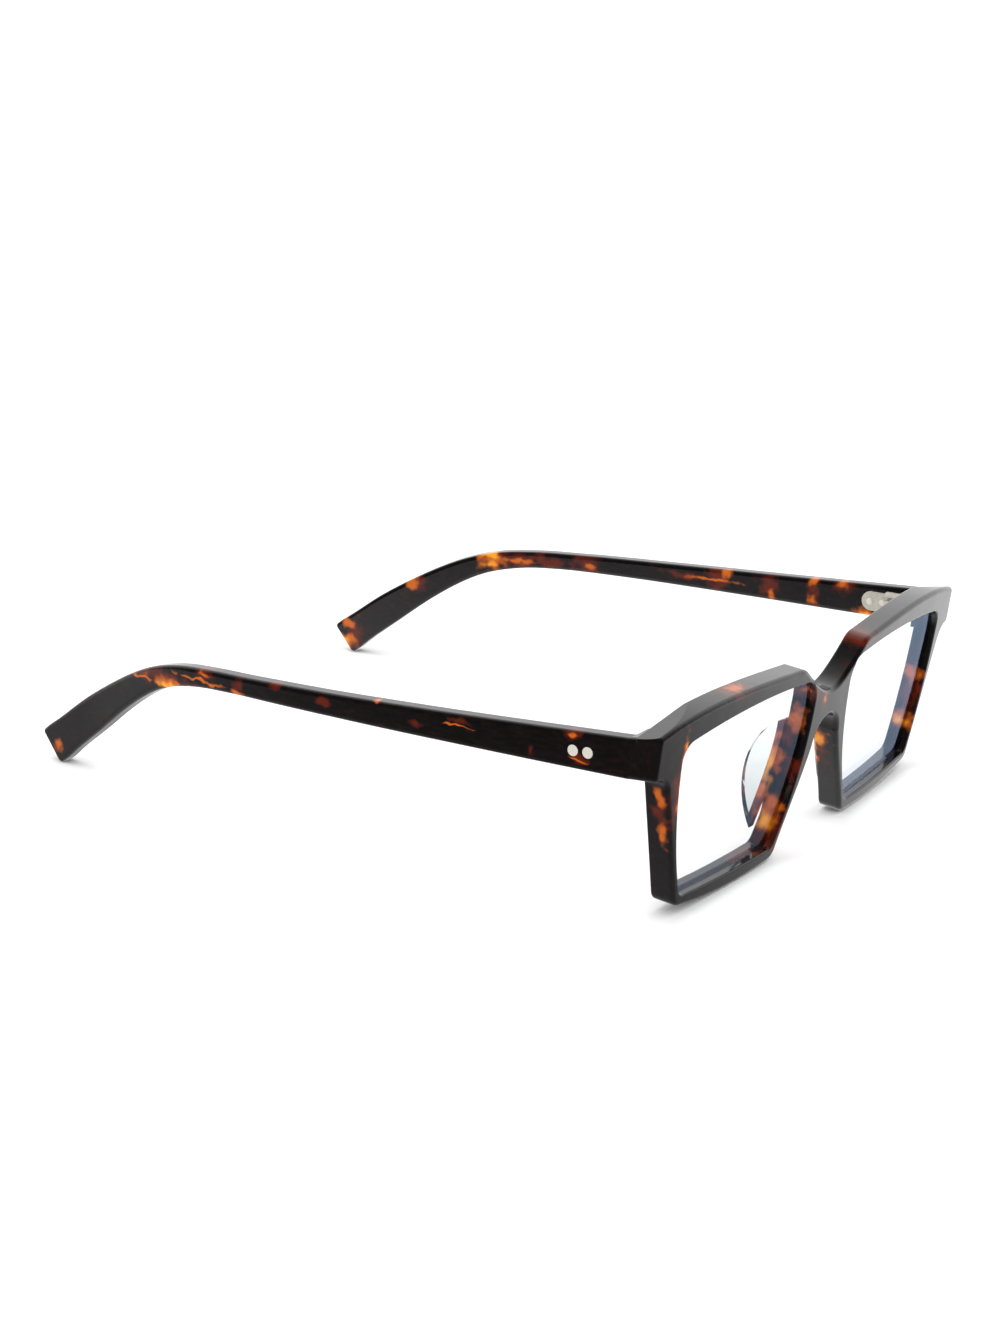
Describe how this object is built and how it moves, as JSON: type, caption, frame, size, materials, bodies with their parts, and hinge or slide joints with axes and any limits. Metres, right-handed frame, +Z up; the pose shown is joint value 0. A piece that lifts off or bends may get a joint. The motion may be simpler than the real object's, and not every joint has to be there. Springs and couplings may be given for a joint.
{
  "type": "eyeglasses frame",
  "caption": "Rounded-rectangle acetate spectacle frame with clear lenses, bonded nose pads and folding temples on riveted barrel hinges.",
  "frame": {"origin": "centre of the plan outline of the opened frame, on the ground plane it stands on", "axes": "+X towards the wearer's left, +Y back along the opened temples (the front faces -Y), +Z up"},
  "size_m": [0.132, 0.1564, 0.0408],
  "materials": {
    "tortoise_acetate": "polished dark tortoiseshell acetate with amber and red-brown patches",
    "clear_acetate": "polished clear acetate",
    "lens": "clear, coated",
    "hinge_metal": "satin nickel silver",
    "screw_metal": "turned steel",
    "rivet_metal": "matte warm nickel",
    "core_wire": "drawn wire"
  },
  "bodies": {
    "front_assembly": {"front": "tortoise_acetate", "lens_left": "lens", "lens_right": "lens", "nose_pad_left": "clear_acetate", "nose_pad_right": "clear_acetate", "front_hinge_left": "hinge_metal", "front_hinge_right": "hinge_metal"},
    "temple_left_arm": {"temple_left": "tortoise_acetate", "temple_core_left": "core_wire", "temple_hinge_left": "hinge_metal", "hinge_screw_left": "screw_metal", "rivet_front_left": "rivet_metal", "rivet_rear_left": "rivet_metal"},
    "temple_right_arm": {"temple_right": "tortoise_acetate", "temple_core_right": "core_wire", "temple_hinge_right": "hinge_metal", "hinge_screw_right": "screw_metal", "rivet_front_right": "rivet_metal", "rivet_rear_right": "rivet_metal"}
  },
  "joints": [
    {"name": "fold_left", "type": "hinge", "parent": "front_assembly", "child": "temple_left_arm", "pos_m": [0.0603, -0.06782, 0.03313], "axis": [-0.0523, 0, 0.9986], "range_deg": [0, 75]},
    {"name": "fold_right", "type": "hinge", "parent": "front_assembly", "child": "temple_right_arm", "pos_m": [-0.0603, -0.06782, 0.03313], "axis": [-0.0523, 0, -0.9986], "range_deg": [0, 85]}
  ]
}
